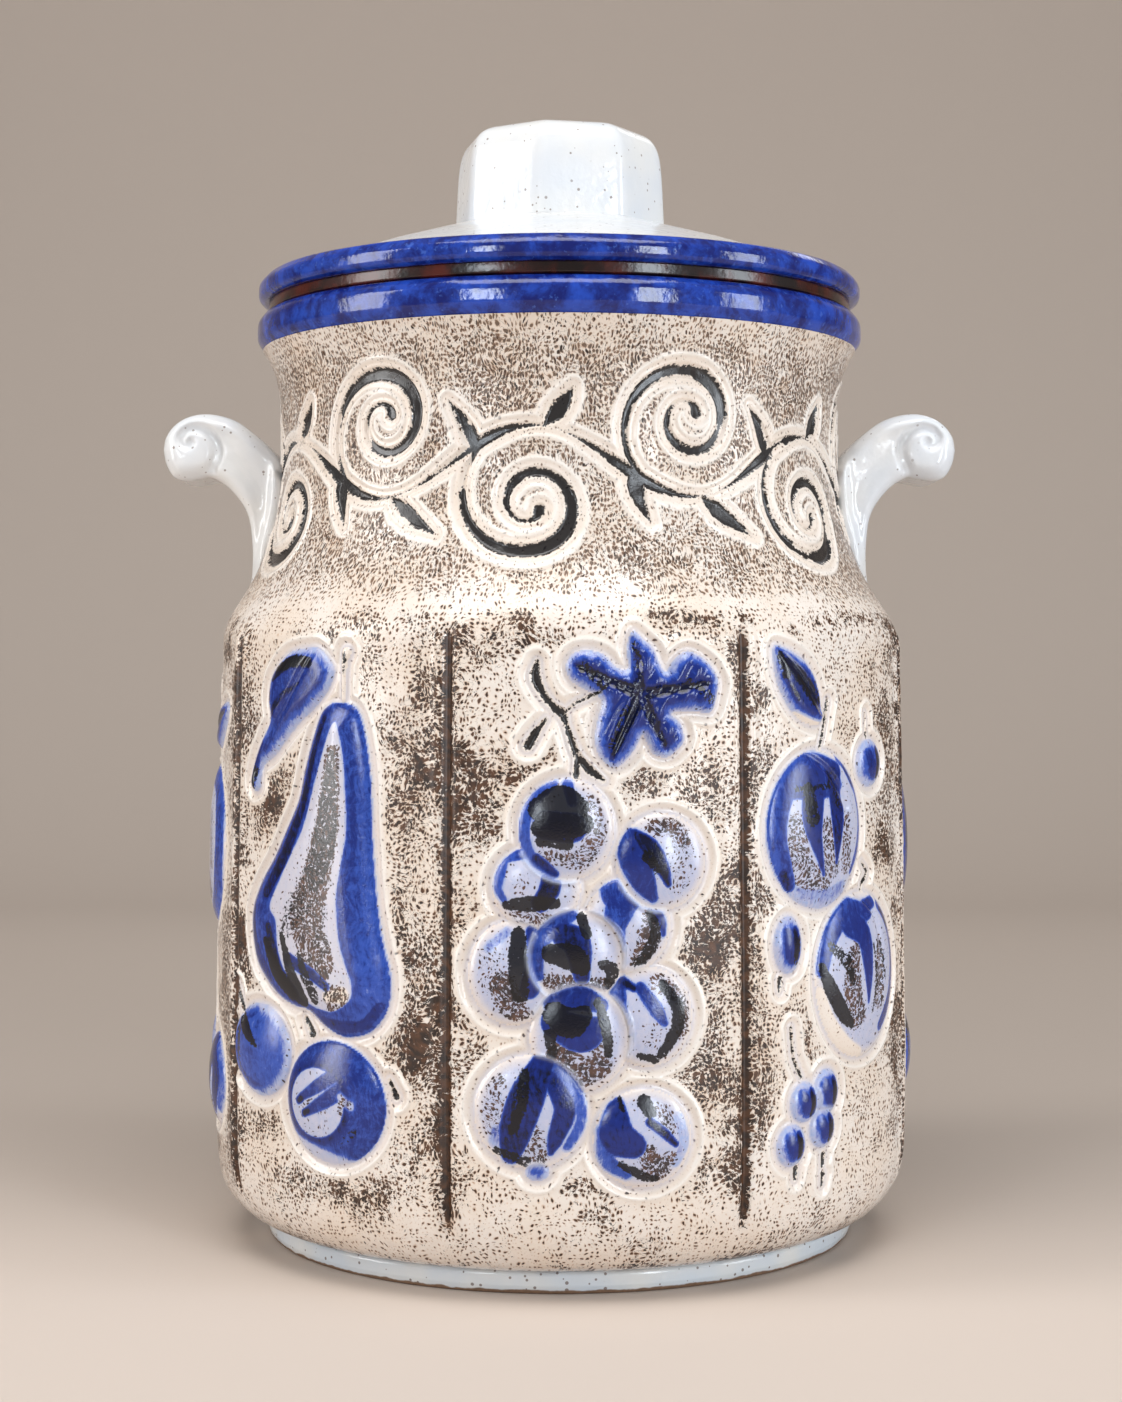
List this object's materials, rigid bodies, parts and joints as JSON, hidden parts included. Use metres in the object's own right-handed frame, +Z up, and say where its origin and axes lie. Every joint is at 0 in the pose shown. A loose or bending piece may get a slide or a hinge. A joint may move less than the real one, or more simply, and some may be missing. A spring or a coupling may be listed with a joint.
{
  "type": "rumtopf pot",
  "caption": "Lidded stoneware crock with bowed body panels in fruit relief, a waisted neck with scrolled ears, rolled blue rims and a conical lid with an octagonal knob.",
  "frame": {"origin": "middle of the foot, on the surface the pot stands on", "axes": "+Z up along the pot's axis, -Y towards the front panel with the grapes, the ears at -X and +X"},
  "size_m": [0.2256, 0.2014, 0.314],
  "materials": {
    "clay_glaze": "gloss cream glaze over pressed brown-stained texture",
    "grey_glaze": "gloss pale grey glaze with fine specks",
    "blue_glaze": "gloss cobalt glaze",
    "brown_glaze": "gloss dark brown glaze"
  },
  "bodies": {
    "pot": {"pot_body": "clay_glaze", "foot_ring": "grey_glaze", "mouth_rim": "blue_glaze", "ear_left": "grey_glaze", "ear_right": "grey_glaze", "grapes_front": "blue_glaze", "grapes_back": "blue_glaze", "plums_right": "blue_glaze", "plums_left": "blue_glaze", "apple_right": "blue_glaze", "apple_left": "blue_glaze", "pear_left": "blue_glaze", "pear_right": "blue_glaze"},
    "lid": {"lid_dome": "grey_glaze", "lid_rim": "blue_glaze", "lid_seat": "brown_glaze", "lid_knob": "grey_glaze"}
  },
  "joints": [
    {"name": "lid_lift", "type": "slide", "parent": "pot", "child": "lid", "axis": [0, 0, 1], "range_m": [0, 0.12]}
  ]
}
